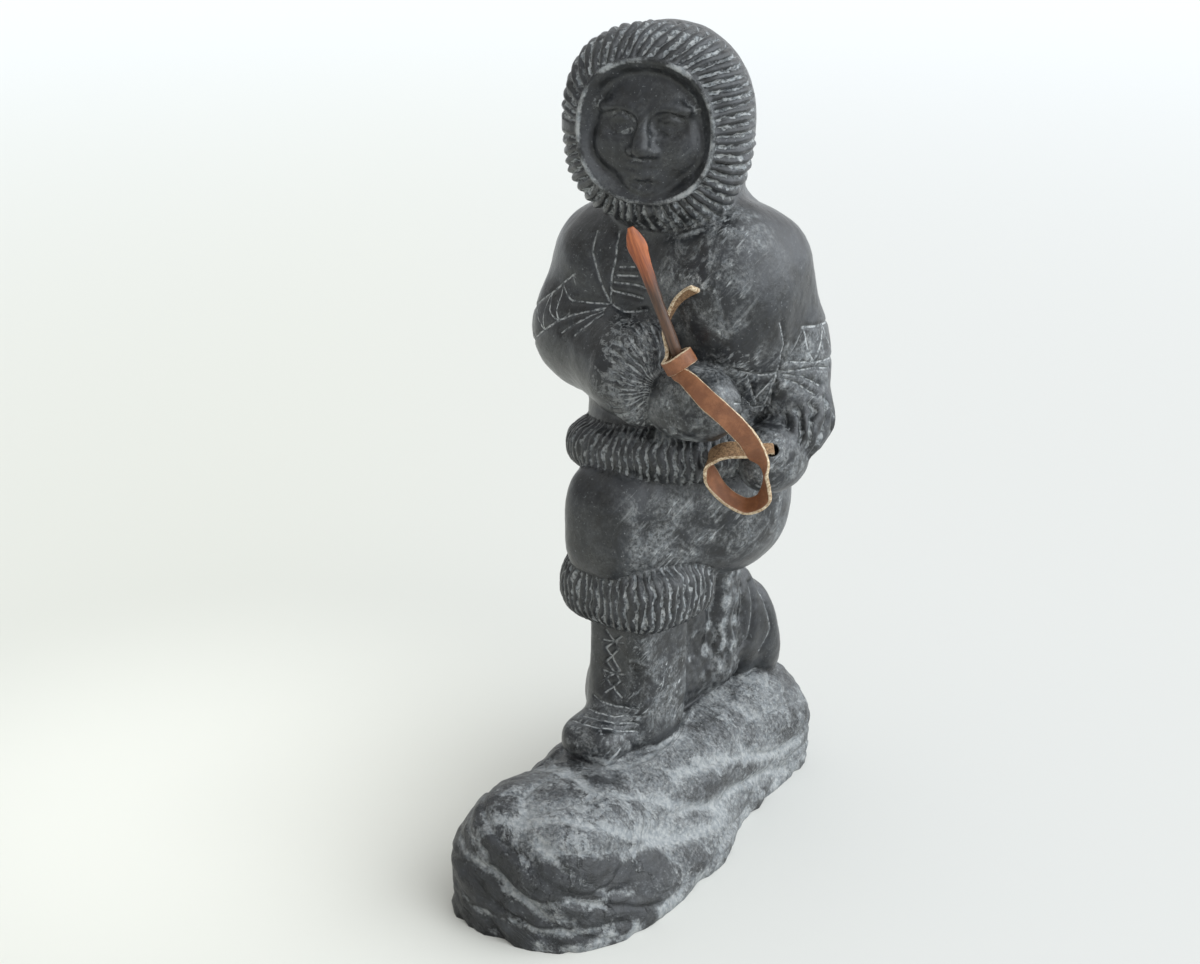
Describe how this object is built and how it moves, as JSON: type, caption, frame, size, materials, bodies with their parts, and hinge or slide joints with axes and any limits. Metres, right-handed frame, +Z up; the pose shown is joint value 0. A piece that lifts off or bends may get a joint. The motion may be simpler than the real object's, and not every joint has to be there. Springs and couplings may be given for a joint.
{
  "type": "kneeling hunter figurine",
  "caption": "Stone-look figurine of a hooded hunter in a fur-trimmed parka, down on one knee on a rock, with a wooden harpoon head and a leather line.",
  "frame": {"origin": "on the table plane, at the middle of the rock's flat underside", "axes": "+Z up, -Y the way the figure's body faces, +X its left side"},
  "size_m": [0.0741, 0.1316, 0.2038],
  "materials": {
    "cast_stone": "satin, dark green-grey with pale dust in the recesses",
    "wood": "oiled reddish brown",
    "leather": "smooth tan top, pale cut edges"
  },
  "bodies": {
    "root": {"hunter": "cast_stone", "harpoon": "wood", "harpoon_line": "leather"}
  },
  "joints": []
}
